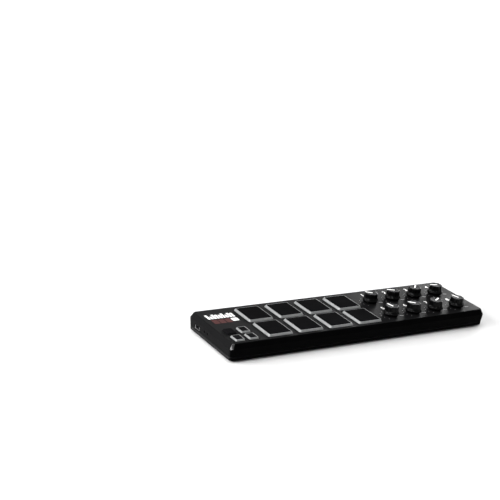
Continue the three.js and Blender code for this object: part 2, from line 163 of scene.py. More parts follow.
class PrintSettings(bpy.types.PropertyGroup):
    """Sizes and colours of the printed marks on the panel."""

    thickness: length("Ink thickness", 0.03, "How far the print stands above the panel")
    digit_height: length("Digit height", 5.4, "Height of the number behind each knob")
    digit_x: length("Digit across", 3.0, "Middle of the number, across from the knob")
    digit_y: length("Digit behind", 18.0, "Middle of the number, behind the knob")
    dots: amount("Dots", 9, "Number of dots round a knob")
    dot_ring: length("Dot ring", 10.9, "Radius of the ring of dots")
    dot_size: length("Dot size", 0.7, "Diameter of one dot")
    dots_from: turn("Dots from", 9.0, "Angle of the first dot")
    dots_to: turn("Dots to", 225.0, "Angle of the last dot")
    tick_angle: turn("Tick angle", -22.0, "Angle of the long tick")
    tick_from: length("Tick from", 9.4, "Inner end of the long tick")
    tick_to: length("Tick to", 13.7, "Outer end of the long tick")
    tick_width: length("Tick width", 0.7, "Width of the long tick")
    bars: amount("Level bars", 9, "Number of white level bars")
    blocks: amount("Red blocks", 3, "Number of red blocks")
    white: colour("White ink", (0.86, 0.86, 0.85), "White print")
    grey: colour("Grey ink", (0.27, 0.27, 0.275), "Grey print")
    red: colour("Red ink", (0.046, 0.0055, 0.005), "Dull red print")


class FixingSettings(bpy.types.PropertyGroup):
    """Sizes and colours of the socket, screws and feet."""

    shell_wall: length("Shell wall", 0.35, "Thickness of the socket's metal shell")
    contacts: amount("Contacts", 5, "Number of contacts in the socket")
    foot_ribs: amount("Foot ribs", 3, "Number of grooves under a foot")
    recess: length("Recess", 1.15, "Half the length of the cross recess")
    steel: colour("Steel", (0.60, 0.60, 0.61), "Plated steel of the socket")
    screw_colour: colour("Screw", (0.05, 0.05, 0.052), "Black plated steel of the screws")
    rubber: colour("Rubber", (0.011, 0.011, 0.012), "Black rubber of the feet")


class StageSettings(bpy.types.PropertyGroup):
    """Floor, lights and camera."""

    floor_size: FloatProperty(
        name="Floor size", description="Side of the pale floor", default=24.0, unit="LENGTH",
    )
    floor_colour: colour("Floor", (0.66, 0.66, 0.66), "Pale floor")
    sky: FloatProperty(
        name="Sky", description="Strength of the even light all round", default=0.50,
    )
    overhead: FloatProperty(
        name="Overhead", description="Strength of the soft light from above", default=1.1,
    )
    lens: FloatProperty(name="Lens", description="Focal length in millimetres", default=87.44)


SETTINGS = {
    "controller_case": CaseSettings, "controller_pads": PadSettings,
    "controller_buttons": ButtonSettings, "controller_knobs": KnobSettings,
    "controller_prints": PrintSettings, "controller_fixings": FixingSettings,
    "controller_stage": StageSettings,
}


# ------------------------------------------------------------------ finishes
class Finish:
    """One procedural material: the shader and the pattern that drives it."""

    def __init__(self, name, colour, roughness, metallic=0.0, specular=0.5):
        self.material = bpy.data.materials.new(name)
        self.material.use_nodes = True
        self.material.diffuse_color = (*colour, 1.0)
        self.tree = self.material.node_tree
        self.shader = self.tree.nodes["Principled BSDF"]
        self.colour = Vector(colour)
        self.set("Base Color", (*colour, 1.0))
        self.set("Roughness", roughness)
        self.set("Metallic", metallic)
        self.set("Specular IOR Level", specular)
        self.object_coords = self.add("TexCoord").outputs["Object"]

    def set(self, name, value):
        """Sets one of the shader's own sockets to a value, or links it to another socket."""
        if isinstance(value, bpy.types.NodeSocket):
            self.tree.links.new(value, self.shader.inputs[name])
        else:
            self.shader.inputs[name].default_value = value

    def add(self, kind, inputs=None, **choices):
        """Adds a shader node, with its choices and inputs."""
        return add_node(self.tree, "ShaderNode" + kind, inputs, choices)

    def stretched(self, scale):
        """Object coordinates scaled by a different amount along each axis."""
        inputs = {"Vector": self.object_coords, "Scale": scale}
        return self.add("Mapping", inputs).outputs["Vector"]

    def noise(self, scale, detail=3.0, rough=0.55, coords=None):
        """A noise value from 0 to 1."""
        inputs = {"Scale": scale, "Detail": detail, "Roughness": rough}
        inputs["Vector"] = coords or self.object_coords
        return self.add("TexNoise", inputs).outputs["Fac"]

    def spread(self, value, low, high, low_in=0.3, high_in=0.7):
        """A value moved into another range."""
        inputs = {"Value": value, "From Min": low_in, "From Max": high_in}
        inputs.update({"To Min": low, "To Max": high})
        return self.add("MapRange", inputs).outputs["Result"]

    def mottle(self, value, dark, light, low_in=0.3, high_in=0.7):
        """Varies the colour between two shades of itself."""
        share = self.spread(value, 0.0, 1.0, low_in, high_in)
        mix = self.add("Mix", {"Factor": share}, data_type="RGBA")
        shades = [socket for socket in mix.inputs if socket.type == "RGBA"]
        for socket, shade in zip(shades, (dark, light)):
            socket.default_value = (*(self.colour * shade), 1.0)
        self.set("Base Color", next(s for s in mix.outputs if s.type == "RGBA"))

    def scuff(self, value, low, high, low_in=0.3, high_in=0.7):
        """Varies the roughness."""
        self.set("Roughness", self.spread(value, low, high, low_in, high_in))

    def grain(self, value, depth, strength=1.0):
        """Gives the surface relief."""
        inputs = {"Height": value, "Distance": depth, "Strength": strength}
        self.set("Normal", self.add("Bump", inputs).outputs["Normal"])


def add_node(tree, kind, inputs, choices):
    """Adds a node to a tree, with its choices set and its inputs set or linked."""
    node = tree.nodes.new(kind)
    for key, value in choices.items():
        setattr(node, key, value)
    for key, value in (inputs or {}).items():
        value = plain(value)
        if isinstance(value, bpy.types.NodeSocket):
            tree.links.new(value, node.inputs[key])
        else:
            node.inputs[key].default_value = value
    return node


def mottled(name, colour, specular, patch, shades, gloss, relief, sand=None):
    """A finish with one noise for shade and gloss, and a finer one for relief.

    patch and sand are scale, detail and roughness. relief is depth and strength.
    """
    finish = Finish(name, colour, gloss[0], specular=specular)
    patches = finish.noise(*patch)
    finish.mottle(patches, *shades)
    finish.scuff(patches, *gloss)
    finish.grain(finish.noise(*sand) if sand else patches, *relief)
    return finish


def charcoal_finish(name, colour, fine=2100.0):
    """Moulded plastic with a fine spark-eroded grain."""
    patch, relief, sand = (34.0, 4.0), (0.00006, 0.75), (fine, 2.0, 0.6)
    return mottled(name, colour, 0.024, patch, (0.86, 1.16), (0.5, 0.62), relief, sand)


def edge_finish(name, colour, specular=0.4):
    """The same plastic where handling has polished its edges."""
    patch, shades, relief = (160.0, 5.0, 0.7), (1.0, 2.1, 0.42, 0.75), (0.00002, 0.25)
    return mottled(name, colour, specular, patch, shades, (0.2, 0.34), relief, (2600.0, 2.0))


def gloss_finish(name, colour, specular):
    """Polished black plastic with faint swirls and dust."""
    finish = Finish(name, colour, 0.12, specular=specular)
    haze = finish.noise(60.0, 5.0, 0.65)
    hairlines = finish.noise(90.0, 2.0, 0.5, finish.stretched((1.0, 1.0, 14.0)))
    finish.mottle(haze, 0.8, 1.5)
    finish.scuff(haze, 0.09, 0.19)
    finish.grain(hairlines, 0.00001, 0.12)
    return finish


def rubber_finish(name, colour, gloss=(0.66, 0.8), specular=0.001, fine=3600.0):
    """Soft black rubber with a powdery surface."""
    patch, relief = (70.0, 4.0, 0.6), (0.00003, 0.45)
    return mottled(name, colour, specular, patch, (0.8, 1.35), gloss, relief, (fine, 2.0))


def silicone_finish(name, colour):
    """Milky translucent silicone."""
    patch, relief, sand = (240.0, 4.0, 0.6), (0.00002, 0.3), (1800.0, 2.0)
    finish = mottled(name, colour, 0.5, patch, (0.86, 1.1), (0.28, 0.42), relief, sand)
    finish.set("Subsurface Weight", 0.5)
    finish.set("Subsurface Radius", (0.7, 0.7, 0.7))
    finish.set("Subsurface Scale", 0.0012)
    return finish


def ink_finish(name, colour):
    """Screen-printed ink, a little uneven."""
    patch, relief = (1500.0, 3.0, 0.6), (0.00001, 0.25)
    return mottled(name, colour, 0.1, patch, (0.88, 1.06), (0.42, 0.58), relief)


def nylon_finish(name):
    """Off-white nylon."""
    shade, relief = (0.58, 0.56, 0.5), (0.00002, 0.3)
    return mottled(name, shade, 0.5, (500.0, 4.0), (0.85, 1.05), (0.38, 0.52), relief)


def metal_finish(name, colour, gloss=(0.22, 0.4), fine=900.0):
    """Plated metal with drawn lines."""
    finish = Finish(name, colour, gloss[0], metallic=1.0)
    lines = finish.noise(fine, 3.0, 0.6, finish.stretched((0.12, 1.0, 1.0)))
    finish.mottle(finish.noise(420.0, 4.0), 0.75, 1.1)
    finish.scuff(lines, *gloss)
    finish.grain(lines, 0.00001, 0.3)
    return finish


def board_finish(name):
    """Green circuit board with copper tracks under its lacquer."""
    finish = Finish(name, (0.012, 0.085, 0.035), 0.4)
    inputs = {"Vector": finish.object_coords, "Scale": 90.0}
    inputs.update({"Mortar Size": 0.03, "Mortar Smooth": 0.3})
    tracks = finish.add("TexBrick", inputs).outputs["Fac"]
    finish.mottle(tracks, 1.9, 1.0, 0.0, 1.0)
    finish.scuff(finish.noise(200.0), 0.3, 0.5)
    finish.grain(tracks, 0.00003, 0.5)
    return finish


# ------------------------------------------------------------------ mesh tools
def span(node):
    """The two corners and the middle of a node's box, in millimetres."""
    low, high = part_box(node)
    return low / MM, high / MM, (low + high) / (2 * MM)


def in_mm(settings):
    """A group of settings with its lengths in millimetres."""
    values = {}
    for setting in settings.bl_rna.properties:
        value = getattr(settings, setting.identifier)
        is_length = getattr(setting, "unit", "NONE") == "LENGTH"
        values[setting.identifier] = value / MM if is_length else value
    return SimpleNamespace(**values)


def in_metres(points):
    """Points given in millimetres, in metres."""
    return [Vector(point) * MM for point in points]


def turned_points(profile):
    """A profile of (radius, share of the flute, height), from millimetres to metres."""
    return [(radius * MM, share, height * MM) for radius, share, height in profile]


def piece_from_mesh(name, data):
    """Links a mesh, or a curve, light or camera, into the scene as one object."""
    piece = bpy.data.objects.new(name, data)
    bpy.context.scene.collection.objects.link(piece)
    return piece


def piece_from_bmesh(name, shape, *finishes):
    """Closes a bmesh, turns its faces outwards and makes it a piece."""
    bmesh.ops.remove_doubles(shape, verts=shape.verts, dist=SAME_PLACE)
    bmesh.ops.recalc_face_normals(shape, faces=shape.faces)
    mesh = bpy.data.meshes.new(name)
    shape.to_mesh(mesh)
    shape.free()
    for finish in finishes:
        mesh.materials.append(finish.material)
    return piece_from_mesh(name, mesh)


def evaluated_mesh(piece):
    """The piece's mesh with its modifiers applied."""
    graph = bpy.context.evaluated_depsgraph_get()
    return bpy.data.meshes.new_from_object(piece.evaluated_get(graph))


def smooth(piece, degrees):
    """Smooth shading that stays crisp past an angle."""
    for polygon in piece.data.polygons:
        polygon.use_smooth = True
    piece.data.set_sharp_from_angle(angle=math.radians(degrees))


def fit(piece, body, nodes=()):
    """Puts a finished piece on its body."""
    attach(piece, body)
    if nodes:
        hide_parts(*nodes)


def rounded_ring(width, depth, corner, z, centre, steps):
    """Points of a rounded rectangle, anticlockwise."""
    corner = min(corner, width / 2, depth / 2)
    points = []
    for quarter in range(4):
        side_x = 1 if quarter in (0, 3) else -1
        side_y = 1 if quarter in (0, 1) else -1
        x = centre[0] + side_x * (width / 2 - corner)
        y = centre[1] + side_y * (depth / 2 - corner)
        for step in range(steps + 1):
            angle = (quarter + step / steps) * math.pi / 2
            points.append(Vector((x + corner * math.cos(angle), y + corner * math.sin(angle), z)))
    return points


def loft(shape, rings):
    """Joins rings, in millimetres, into a closed skin with a face at each end."""
    loops = [[shape.verts.new(point) for point in in_metres(ring)] for ring in rings]
    for low, high in zip(loops, loops[1:]):
        for i in range(len(low)):
            j = (i + 1) % len(low)
            shape.faces.new((low[i], low[j], high[j], high[i]))
    shape.faces.new(list(reversed(loops[0])))
    shape.faces.new(loops[-1])


def stack(name, size, centre, outline, corners, finish, steps=6):
    """A piece lofted through level rounded rectangles, in millimetres.

    Each step of the outline is how much narrower the ring is, its height and, where the
    ring is squarer, how much shallower. corners is the corner radius, its growth with each
    millimetre of narrowing, and its least value.
    """
    radius, growth, least = corners
    rings = []
    for inset, z, *squarer in outline:
        width, depth = size[0] - inset, size[1] - inset - sum(squarer)
        corner = max(radius + inset * growth, least)
        rings.append(rounded_ring(width, depth, corner, z, centre, steps))
    shape = bmesh.new()
    loft(shape, rings)
    return piece_from_bmesh(name, shape, finish)


def moulded_copy(node, name, edge_round, finishes):
    """A merged copy of a frame node with its hard edges rounded off.

    The rounded strips take the third finish.
    """
    shape = bmesh.new()
    shape.from_mesh(frame["nodes"][node].data)
    bmesh.ops.remove_doubles(shape, verts=shape.verts, dist=2e-6)
    bmesh.ops.dissolve_limit(
        shape, angle_limit=math.radians(0.8), verts=shape.verts, edges=shape.edges,
    )
    mesh = bpy.data.meshes.new(name)
    shape.to_mesh(mesh)
    shape.free()
    for layer in [a for a in mesh.attributes if a.name in ("custom_normal", "sharp_edge")]:
        mesh.attributes.remove(layer)
    piece = piece_from_mesh(name, mesh)
    for polygon in mesh.polygons:
        polygon.use_smooth = True
        polygon.material_index = 0
    rounding = piece.modifiers.new("rounding", "BEVEL")
    rounding.width = edge_round
    rounding.segments = 2
    rounding.limit_method = "ANGLE"
    rounding.angle_limit = math.radians(36)
    rounding.use_clamp_overlap = True
    rounding.miter_outer = "MITER_ARC"
    rounding.material = EDGE
    for finish in finishes:
        mesh.materials.append(finish.material)
    made = evaluated_mesh(piece)
    piece.modifiers.clear()
    piece.data = made
    smooth(piece, 34)
    for polygon in made.polygons:
        wide = polygon.area > 12 * MM * MM or abs(polygon.normal.z) > 0.9999
        if wide and polygon.material_index != EDGE:
            polygon.use_smooth = False
    return piece


# ------------------------------------------------------------------ node trees
class Field:
    """A value inside a tree that takes everyday arithmetic."""

    def __init__(self, recipe, socket):
        self.recipe, self.socket = recipe, socket

    def __add__(self, other):
        return self.recipe.sum("ADD", self, other)

    def __sub__(self, other):
        return self.recipe.sum("SUBTRACT", self, other)

    def __rsub__(self, other):
        return self.recipe.sum("SUBTRACT", other, self)

    def __mul__(self, other):
        return self.recipe.sum("MULTIPLY", self, other)

    def __truediv__(self, other):
        return self.recipe.sum("DIVIDE", self, other)


def plain(value):
    """The socket behind a field, or the value itself."""
    return value.socket if isinstance(value, Field) else value


class Recipe:
    """One Geometry Nodes tree with named inputs."""

    def __init__(self, name):
        self.tree = bpy.data.node_groups.new(name, "GeometryNodeTree")
        self.tree.is_modifier = True
        sockets = self.tree.interface
        for way in ("INPUT", "OUTPUT"):
            sockets.new_socket("Geometry", in_out=way, socket_type="NodeSocketGeometry")
        self.start = self.tree.nodes.new("NodeGroupInput")
        self.end = self.tree.nodes.new("NodeGroupOutput")
        self.given = self.start.outputs["Geometry"]

    def ask(self, kind, *names):
        """Adds named inputs of one kind and returns them."""
        for name in names:
            self.tree.interface.new_socket(name, in_out="INPUT", socket_type="NodeSocket" + kind)
        return [Field(self, self.start.outputs[name]) for name in names]

    def add(self, kind, inputs=None, **choices):
        """Adds a geometry node and returns its first output."""
        return add_node(self.tree, "GeometryNode" + kind, inputs, choices).outputs[0]

    def sum(self, operation, first, second=0.0):
        """One step of arithmetic."""
        node = add_node(
            self.tree, "ShaderNodeMath", {0: first, 1: second}, {"operation": operation},
        )
        return Field(self, node.outputs[0])

    def point(self, x=0.0, y=0.0, z=0.0):
        """A vector from three numbers."""
        return add_node(self.tree, "ShaderNodeCombineXYZ", {0: x, 1: y, 2: z}, {}).outputs[0]

    def parts(self, vector):
        """The three numbers of a vector."""
        node = add_node(self.tree, "ShaderNodeSeparateXYZ", {0: vector}, {})
        return [Field(self, socket) for socket in node.outputs]

    def place(self):
        """The position field."""
        return self.add("InputPosition")

    def index(self):
        """The index field."""
        return Field(self, self.add("InputIndex"))

    def wind(self, geometry, radius, angle, height=0.0):
        """Puts every point at a radius and an angle about the Z axis."""
        x, y = radius * self.sum("COSINE", angle), radius * self.sum("SINE", angle)
        inputs = {"Geometry": geometry, "Position": self.point(x, y, height)}
        return self.add("SetPosition", inputs)

    def move(self, geometry, offset, turned=(0.0, 0.0, 0.0)):
        """Turns geometry about the origin, then moves it by a vector."""
        inputs = {"Geometry": geometry, "Translation": offset, "Rotation": turned}
        return self.add("Transform", inputs)

    def paint(self, geometry, material, where=None):
        """Gives geometry a material."""
        inputs = {"Geometry": geometry, "Material": material}
        if where:
            inputs["Selection"] = where
        return self.add("SetMaterial", inputs)

    def copies(self, points, part, **inputs):
        """Copies of a part on points, made real."""
        inputs.update(Points=points, Instance=part)
        return self.add("RealizeInstances", {0: self.add("InstanceOnPoints", inputs)})

    def done(self, geometry):
        """Sends geometry out of the tree."""
        self.tree.links.new(geometry, self.end.inputs[0])
        return self

    def make(self, name, points, **values):
        """Runs the tree on points and returns the result as a plain piece."""
        mesh = bpy.data.meshes.new(name)
        mesh.from_pydata(points, [], [])
        piece = piece_from_mesh(name, mesh)
        modifier = piece.modifiers.new("recipe", "NODES")
        modifier.node_group = self.tree
        for item in self.tree.interface.items_tree:
            key = item.name.lower().replace(" ", "_")
            if item.in_out == "INPUT" and key in values:
                modifier[item.identifier] = values[key]
        made = evaluated_mesh(piece)
        piece.modifiers.clear()
        shape = bmesh.new()
        shape.from_mesh(made)
        bmesh.ops.remove_doubles(shape, verts=shape.verts, dist=SAME_PLACE)
        bmesh.ops.recalc_face_normals(shape, faces=shape.faces)
        shape.to_mesh(made)
        shape.free()
        if not made.polygons:
            raise RuntimeError(f"{name} came out empty")
        piece.data = made
        return piece


def turned_recipe():
    """Turns a profile about the Z axis, with optional flutes.

    Each given point is (radius, share of the flute, height).
    """
    recipe = Recipe("turned_part")
    stations, sides = recipe.ask("Int", "Stations", "Sides")
    lobes, flute = recipe.ask("Float", "Lobes", "Flute depth")
    face_height, face_radius = recipe.ask("Float", "Face height", "Face radius")
    (centre,) = recipe.ask("Vector", "Centre")
    body, face = recipe.ask("Material", "Body finish", "Face finish")

    size = {"Size X": 1.0, "Size Y": 1.0, "Vertices X": sides + 1.0, "Vertices Y": stations}
    across, along, _ = recipe.parts(recipe.place())
    angle = (across + 0.5) * math.tau
    row = recipe.sum("ROUND", (along + 0.5) * (stations - 1.0))
    inputs = {"Geometry": recipe.given, "Value": recipe.place(), "Index": row}
    profile = recipe.add("SampleIndex", inputs, data_type="FLOAT_VECTOR")
    radius, share, height = recipe.parts(profile)
    wave = recipe.sum("COSINE", angle * lobes)
    valley = recipe.sum("POWER", (1.0 - wave) * 0.5, 2.2)
    skin = recipe.wind(
        recipe.add("MeshGrid", size), radius - valley * flute * share, angle, height,
    )
    inputs = {"Geometry": skin, "Distance": SAME_PLACE}
    closed = recipe.add("MergeByDistance", inputs)
    x, y, z = recipe.parts(recipe.place())
    out = recipe.sum("SQRT", x * x + y * y)
    raised = recipe.sum("GREATER_THAN", z, face_height)
    on_face = raised * recipe.sum("LESS_THAN", out, face_radius)
    painted = recipe.paint(recipe.paint(closed, body), face, on_face)
    return recipe.done(recipe.move(painted, centre))


def set_out_recipe():
    """Copies one made part onto the given points."""
    recipe = Recipe("set_out")
    (part,) = recipe.ask("Object", "Part")
    (finish,) = recipe.ask("Material", "Finish")
    info = add_node(recipe.tree, "GeometryNodeObjectInfo", {"Object": part}, {})
    shape = info.outputs["Geometry"]
    return recipe.done(recipe.paint(recipe.copies(recipe.given, shape), finish))


def dial_recipe():
    """A ring of dots and one tick on each of the given points."""
    recipe = Recipe("dial_marks")
    (count,) = recipe.ask("Int", "Dots")
    ring, size, first, last = recipe.ask("Float", "Dot ring", "Dot size", "Dots from", "Dots to")
    angle, start, end = recipe.ask("Float", "Tick angle", "Tick from", "Tick to")
    width, thickness = recipe.ask("Float", "Tick width", "Thickness")
    (finish,) = recipe.ask("Material", "Finish")

    line = recipe.add("MeshLine", {"Count": count})
    step = (last - first) / (count - 1.0)
    arc = recipe.wind(line, ring, first + recipe.index() * step)
    inputs = {"Vertices": 14, "Radius": size * 0.5, "Depth": thickness}
    dots = recipe.copies(arc, recipe.add("MeshCylinder", inputs))
    size = recipe.point(end - start, width, thickness)
    tick = recipe.add("MeshCube", {"Size": size})
    tick = recipe.move(tick, recipe.point((end + start) * 0.5))
    tick = recipe.move(tick, (0.0, 0.0, 0.0), recipe.point(0.0, 0.0, angle))
    both = recipe.tree.nodes.new("GeometryNodeJoinGeometry")
    for mark in (dots, tick):
        recipe.tree.links.new(mark, both.inputs[0])
    return recipe.done(recipe.paint(recipe.copies(recipe.given, both.outputs[0]), finish))


def row_recipe():
    """A row of bars from each given point, whose depths rise and fall."""
    recipe = Recipe("row_of_bars")
    (count,) = recipe.ask("Int", "Count")
    size, middle, step = recipe.ask("Vector", "Size", "Middle", "Step")
    (low,) = recipe.ask("Float", "Lowest share")
    (finish,) = recipe.ask("Material", "Finish")

    line = recipe.add("MeshLine", {"Count": count, "Offset": step})
    wave = recipe.sum("SINE", (recipe.index() + 0.7) * 1.9)
    tall = low + (1.0 - low) * recipe.sum("ABSOLUTE", wave)
    bar = recipe.move(recipe.add("MeshCube", {"Size": size}), middle)
    row = recipe.copies(line, bar, Scale=recipe.point(1.0, tall, 1.0))
    return recipe.done(recipe.paint(recipe.copies(recipe.given, row), finish))


# ------------------------------------------------------------------ case
def front_faces(piece, corner_slot):
    """Marks the faces that look forwards for the gloss finish, and the front corners. The front
    finish's darker colour is painted shade.
    """
    low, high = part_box("top_cover")
    for polygon in piece.data.polygons:
        place, facing = polygon.center, polygon.normal
        inwards = min(place.x - low.x, high.x - place.x, place.y - low.y)
        if inwards > 5.0 * MM or place.y > low.y + 6.0 * MM or facing.y > -0.3:
            continue
        # Painted shade: forward faces take the darker front finish, as do corners that don't lean
        # up and every corner of the bottom cover.
        if abs(facing.x) > 0.3:
            polygon.material_index = corner_slot if facing.z > 0.05 else FRONT
        elif facing.y < -0.72:
            polygon.material_index = FRONT


class CONTROLLER_OT_case(bpy.types.Operator):
    """Mould the top cover and the bottom cover"""

    bl_idname = "controller.case"
    bl_label = "Case"

    def execute(self, context):
        sizes = context.scene.controller_case
        # The front finish is glossier than the panel, and its darker colour is painted shade.
        front = gloss_finish("gloss_front", sizes.front_colour, 0.008)
        covers = (
            (
                "top_cover", "cover_top", "case_plastic", CORNER,
                (
                    charcoal_finish("charcoal_plastic", sizes.panel_colour), front,
                    edge_finish("polished_edge", sizes.panel_colour),
                    edge_finish("polished_corner", sizes.panel_colour, 0.7),
                ),
            ),
            (
                "bottom_cover", "cover_bottom", "under_plastic", FRONT,
                (
                    charcoal_finish("underside_plastic", sizes.under_colour, 1500.0), front,
                    edge_finish("underside_edge", sizes.under_colour),
                ),
            ),
        )
        for node, name, slot, corner_slot, finishes in covers:
            cover = moulded_copy(node, name, sizes.edge_round, finishes)
            front_faces(cover, corner_slot)
            fit(cover, "case", [node])
        return {"FINISHED"}


# ------------------------------------------------------------------ pads
def pad_rim(number, sizes, finish):
    """The milky rim with its hidden flange and plunger."""
    node = f"pad_rim_{number}"
    low, high, centre = span(node)
    size = (high.x - low.x - 2 * sizes.flange, high.y - low.y - 2 * sizes.flange)
    pocket_floor = span(f"pad_top_{number}")[0].z
    under = low.z + PLUNGER
    over = under + sizes.flange_thickness
    top = high.z
    plunger = 2 * sizes.plunger_inset
    flange = -2 * sizes.flange
    draft = 2 * sizes.draft
    pocket = 2 * (sizes.draft + sizes.rim)
    outline = [
        (plunger + 0.4, low.z), (plunger, low.z + 0.2), (plunger, under), (flange + 0.5, under),
        (flange, under + 0.25), (flange, over - 0.25), (flange + 0.5, over), (0.3, over),
        (0.0, over + 0.3), (0.0, PANEL - 0.1), (0.06, PANEL + 0.12), (draft - 0.34, top - 0.32),
        (draft - 0.12, top - 0.1), (draft + 0.16, top), (pocket - 0.3, top),
        (pocket - 0.08, top - 0.06), (pocket, top - 0.25), (pocket, pocket_floor + 0.1),
        (pocket + 0.4, pocket_floor),
    ]
    corners = (sizes.corner, -0.28, 0.5)
    piece = stack(f"rim_{number}", size, centre, outline, corners, finish)
    smooth(piece, 38)
    fit(piece, f"pad_{number}", [node])


def pad_top(number, sizes, finish):
    """The crowned black top that sits in the rim's pocket."""
    node = f"pad_top_{number}"
    low, high, centre = span(node)
    rim_low, rim_high, _ = span(f"pad_rim_{number}")
    inset = 2 * (sizes.flange + sizes.draft + sizes.rim + 0.1)
    size = (rim_high.x - rim_low.x - inset, rim_high.y - rim_low.y - inset)
    edge = high.z - 0.1
    outline = [
        (0.3, low.z), (0.0, low.z + 0.15), (0.0, edge - 0.28), (0.1, edge - 0.12),
        (0.34, edge - 0.02), (0.8, edge + 0.05),
    ]
    for inset, rise in ((2.0, 0.4), (5.0, 0.7), (9.0, 0.88), (14.0, 0.97), (18.0, 1.0)):
        outline.append((inset, edge + sizes.crown * rise))
    piece = stack(f"top_{number}", size, centre, outline, (1.1, 0.1, 0.5), finish)
    smooth(piece, 45)
    fit(piece, f"pad_{number}", [node])


class CONTROLLER_OT_pads(bpy.types.Operator):
    """Mould the eight drum pads: a milky rim with a black rubber top"""

    bl_idname = "controller.pads"
    bl_label = "Drum pads"

    def execute(self, context):
        sizes = in_mm(context.scene.controller_pads)
        milky = silicone_finish("pad_silicone", sizes.rim_colour)
        rubber = rubber_finish("pad_rubber", sizes.top_colour)
        for number in PADS:
            pad_rim(number, sizes, milky)
            pad_top(number, sizes, rubber)
        return {"FINISHED"}


# ------------------------------------------------------------------ buttons
def push_button(number, sizes, rim_finish, cap_finish):
    """A button's rim with its hidden flange and stem, and the dished cap inside it."""
    node = f"button_{number}"
    body = f"button_key_{number}"
    low, high, centre = span(node)
    width, depth = high.x - low.x - 2 * sizes.flange, high.y - low.y - 2 * sizes.flange
    top = high.z
    over = span("pad_rim_1")[0].z + 2.6
    under = over - sizes.flange_thickness
    stem = width - sizes.stem
    square = depth - width
    flange = -2 * sizes.flange
    draft = 2 * sizes.draft
    pocket = 2 * (sizes.draft + sizes.rim)
    floor = top - 0.9
    corners = (sizes.corner, -0.25, 0.35)
    outline = [
        (stem + 0.3, low.z, square), (stem, low.z + 0.2, square), (stem, under, square),
        (flange, under), (flange, over - 0.2), (flange + 0.4, over), (0.2, over),
        (0.0, over + 0.2), (0.0, PANEL), (draft - 0.25, top - 0.24), (draft - 0.02, top - 0.05),
        (draft + 0.2, top), (pocket - 0.2, top), (pocket, top - 0.14), (pocket, floor),
        (pocket + 0.3, floor - 0.05),
    ]
    rim = stack(f"button_rim_{number}", (width, depth), centre, outline, corners, rim_finish)
    smooth(rim, 38)
    fit(rim, body, [node])

    gap = pocket + 0.16
    outline = [
        (gap + 0.2, floor - 0.04), (gap, floor + 0.1), (gap, top - 0.2), (gap + 0.14, top - 0.06),
        (gap + 0.5, top), (gap + 1.4, top - 0.05), (gap + 3.0, top - 0.16), (gap + 4.8, top - 0.2),
    ]
    cap = stack(f"button_cap_{number}", (width, depth), centre, outline, corners, cap_finish)
    smooth(cap, 45)
    fit(cap, body)


class CONTROLLER_OT_buttons(bpy.types.Operator):
    """Mould the four push buttons: a rim with a dark dished cap"""

    bl_idname = "controller.buttons"
    bl_label = "Push buttons"

    def execute(self, context):
        sizes = in_mm(context.scene.controller_buttons)
        pale = silicone_finish("button_silicone", context.scene.controller_pads.rim_colour)
        dark = rubber_finish("button_rubber", sizes.cap_colour, (0.4, 0.55))
        for number in BUTTONS:
            push_button(number, sizes, dark if number == DARK_BUTTON else pale, dark)
        return {"FINISHED"}


# ------------------------------------------------------------------ knobs
def pointer_angles():
    """The angle of each knob's pointer at rest, from its joint's range."""
    found = {}
    for joint in frame["joints"]:
        if joint["name"].endswith("_turn"):
            number = int(joint["name"].split("_")[1])
            lowest, highest = joint["range_deg"]
            found[number] = math.radians(90.0 - (lowest + highest) / 2)
    return found


def knob_body(number, sizes, recipe, gloss, face, angle):
    """A fluted knob with a full skirt, hollow underneath and bored for its shaft."""
    node = f"knob_{number}"
    low, high, centre = span(node)
    base, head = low.z, high.z
    bore, skirt, waist, top = sizes.bore, sizes.skirt, sizes.waist, sizes.top
    wall, hollow = 1.1, base + 1.9
    profile = [
        (0.0, 0, head - sizes.bore_cap), (bore, 0, head - sizes.bore_cap), (bore, 0, base + 0.6),
        (bore + 0.25, 0, base + 0.35), (bore + wall, 0, base + 0.35),
        (bore + wall + 0.1, 0, hollow), (skirt - wall - 1.0, 0, hollow),
        (skirt - wall - 0.8, 0, base + 0.1), (skirt - 1.4, 0, base),
        (skirt - 1.05, 0, base + 0.16), (skirt - 0.45, 0, base + 1.0),
        (skirt - 0.1, 0, base + 1.8), (skirt, 0, base + 2.3), (skirt - 0.06, 0, base + 2.65),
        (skirt - 0.3, 0.12, base + 2.95), (skirt - 0.66, 0.4, base + 3.3),
        (waist + 0.26, 0.65, base + 3.7), (waist - 0.04, 0.9, base + 4.3),
        (waist * 0.5 + top * 0.5, 1.0, base + 5.2), (waist * 0.2 + top * 0.8, 1.0, base + 6.6),
        (top + 0.02, 1.0, head - 1.0), (top - 0.06, 1.0, head - 0.5),
        (top - 0.22, 0.96, head - 0.2), (top - 0.48, 0.9, head - 0.05), (top - 0.8, 0.8, head),
        (top - 1.15, 0.7, head - 0.03), (top - 1.35, 0.65, head - 0.12),
        (top * 0.4, 0.1, head - 0.12), (0.0, 0, head - 0.12),
    ]
    middle = Vector((centre.x, centre.y, 0.0)) * MM
    piece = recipe.make(
        f"dial_{number}", turned_points(profile), stations=len(profile), sides=96,
        lobes=float(sizes.lobes), flute_depth=sizes.flute_depth * MM, centre=middle,
        face_height=(head - 0.3) * MM, face_radius=(top - 0.9) * MM, body_finish=gloss.material,
        face_finish=face.material,
    )
    there = Matrix.Translation(middle)
    piece.data.transform(there @ Matrix.Rotation(angle, 4, "Z") @ there.inverted())
    smooth(piece, 40)
    fit(piece, f"knob_unit_{number}", [node])


